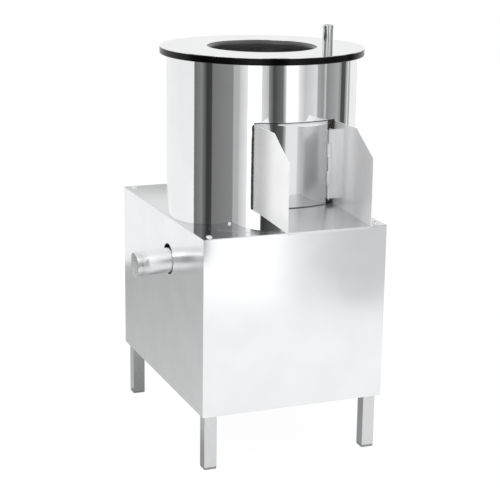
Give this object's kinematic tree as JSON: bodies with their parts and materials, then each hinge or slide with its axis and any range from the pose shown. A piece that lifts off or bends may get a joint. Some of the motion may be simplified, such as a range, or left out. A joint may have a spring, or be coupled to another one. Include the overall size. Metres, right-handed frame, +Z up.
{
  "type": "electric potato peeler",
  "caption": "Stainless drum potato peeler on square-tube legs, with ring lid, abrasive disc, chute with hinged curved door, drain pipe and belt drive.",
  "frame": {"origin": "centre of the casing's footprint and of the four leg holes, on the floor", "axes": "+Z up, -Y towards the front where the chute is, +X to the right as seen from the front"},
  "size_m": [0.5117, 0.661, 0.831],
  "materials": {
    "mirror_stainless": "stainless sheet polished to a mirror",
    "polished_stainless": "stainless sheet, bright polished",
    "satin_stainless": "stainless, satin",
    "machined_steel": "turned and ground steel",
    "zinc_steel": "zinc plated steel",
    "grey_iron": "cast iron, grey primer",
    "abrasive_disc": "cast aluminium coated with abrasive grit",
    "abrasive_lining": "bonded abrasive grit",
    "motor_paint": "grey enamel",
    "black_rim": "glossy black",
    "black_plastic": "moulded, fine grain",
    "black_rubber": "matt",
    "grey_plastic": "moulded, fine grain",
    "green_plastic": "moulded, glossy",
    "red_plastic": "moulded, glossy"
  },
  "bodies": {
    "machine": {"leg_front_left": "satin_stainless", "leg_front_right": "satin_stainless", "leg_rear_left": "satin_stainless", "leg_rear_right": "satin_stainless", "foot_plugs": "black_plastic", "leg_top_plugs": "zinc_steel", "upper_rails": "satin_stainless", "lower_rails": "satin_stainless", "front_panel": "polished_stainless", "left_panel": "polished_stainless", "right_panel": "polished_stainless", "back_panel": "polished_stainless", "back_panel_screws": "satin_stainless", "top_plate": "polished_stainless", "top_plate_screws": "satin_stainless", "drum_shell": "mirror_stainless", "drum_bolts": "zinc_steel", "drum_lining": "abrasive_lining", "catch_pan": "satin_stainless", "drain_pipe": "satin_stainless", "drive_deck": "zinc_steel", "deck_bolts": "zinc_steel", "bearing_housing": "grey_iron", "housing_bolts": "zinc_steel", "lower_bearing": "machined_steel", "upper_bearing": "machined_steel", "shaft_seal": "black_rubber", "motor_body": "motor_paint", "motor_flange": "motor_paint", "motor_fan_cowl": "motor_paint", "terminal_box": "black_plastic", "motor_bolts": "zinc_steel", "drive_belt": "black_rubber", "left_cheek": "mirror_stainless", "right_cheek": "mirror_stainless", "chute_floor": "mirror_stainless", "fixed_leaf": "satin_stainless", "hinge_pin": "satin_stainless", "starter_box": "grey_plastic", "cable_gland": "black_plastic"},
    "peeling_rotor": {"drive_shaft": "machined_steel", "pulley_key": "machined_steel", "driven_pulley": "grey_iron", "peeling_disc": "abrasive_disc", "sweeper_blades": "satin_stainless", "disc_nut": "satin_stainless"},
    "motor_rotor": {"motor_shaft": "machined_steel", "motor_pulley": "grey_iron", "motor_fan": "black_plastic"},
    "lid": {"lid_board": "black_rim", "lid_steel_top": "mirror_stainless", "lid_locating_ring": "satin_stainless", "water_inlet_pipe": "satin_stainless", "inlet_locknut": "satin_stainless"},
    "door": {"door_panel": "mirror_stainless", "door_leaf": "satin_stainless"},
    "door_latch": {"latch_knob": "black_plastic", "latch_tongue": "satin_stainless"},
    "start_button": {"start_button": "green_plastic"},
    "stop_button": {"stop_button": "red_plastic"}
  },
  "joints": [
    {"name": "disc_spin", "type": "hinge", "parent": "machine", "child": "peeling_rotor", "pos_m": [0, -0.058, 0.3], "axis": [0, 0, 1], "continuous": true},
    {"name": "motor_spin", "type": "hinge", "parent": "machine", "child": "motor_rotor", "pos_m": [0, 0.1471, 0.2], "axis": [0, 0, 1], "continuous": true},
    {"name": "lid_lift", "type": "slide", "parent": "machine", "child": "lid", "axis": [0, 0, 1], "range_m": [0, 0.2]},
    {"name": "door_swing", "type": "hinge", "parent": "machine", "child": "door", "pos_m": [0.07, -0.2341, 0.592], "axis": [0, 0, 1], "range_deg": [0, 64]},
    {"name": "latch_turn", "type": "hinge", "parent": "door", "child": "door_latch", "pos_m": [-0.062, -0.23442, 0.592], "axis": [-0.3316, -0.9434, 0], "range_deg": [0, 90]},
    {"name": "start_press", "type": "slide", "parent": "machine", "child": "start_button", "axis": [-1, 0, 0], "range_m": [0, 0.004], "stiffness_N_per_m": 800},
    {"name": "stop_press", "type": "slide", "parent": "machine", "child": "stop_button", "axis": [-1, 0, 0], "range_m": [0, 0.004], "stiffness_N_per_m": 800}
  ],
  "couplings": [
    {"joint": "motor_spin", "follows": "disc_spin", "ratio": 3.1746}
  ]
}
